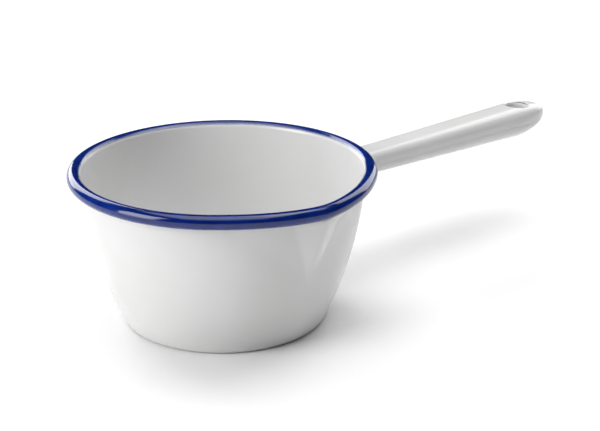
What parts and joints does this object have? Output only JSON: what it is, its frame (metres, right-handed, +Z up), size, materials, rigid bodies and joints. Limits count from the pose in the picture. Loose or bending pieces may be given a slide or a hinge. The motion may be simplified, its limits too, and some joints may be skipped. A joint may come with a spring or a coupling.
{
  "type": "milk pan",
  "caption": "White enamelled steel milk pan with a rolled blue rim, a pouring lip at right angles to the handle, and a hollow welded handle with a hanging hole.",
  "frame": {"origin": "centre of the flat base, on the surface that the pan stands on", "axes": "+X runs from the bowl's axis along the handle to its tip, the pouring lip points along -Y, +Z is up"},
  "size_m": [0.315, 0.1576, 0.08],
  "materials": {
    "white_enamel": "glossy vitreous enamel, fired white",
    "blue_enamel": "glossy vitreous enamel, cobalt blue",
    "sheet_steel": "pickled low-carbon steel sheet, hidden under the enamel",
    "weld_metal": "weld metal, hidden under the enamel"
  },
  "bodies": {
    "root": {"bowl_pressing": "sheet_steel", "outer_white_enamel": "white_enamel", "inner_white_enamel": "white_enamel", "blue_rim_enamel": "blue_enamel", "handle_upper_shell": "sheet_steel", "handle_lower_shell": "sheet_steel", "handle_seam_weld": "weld_metal", "handle_root_weld": "weld_metal", "hanging_hole_eyelet": "sheet_steel", "handle_white_enamel": "white_enamel"}
  },
  "joints": []
}
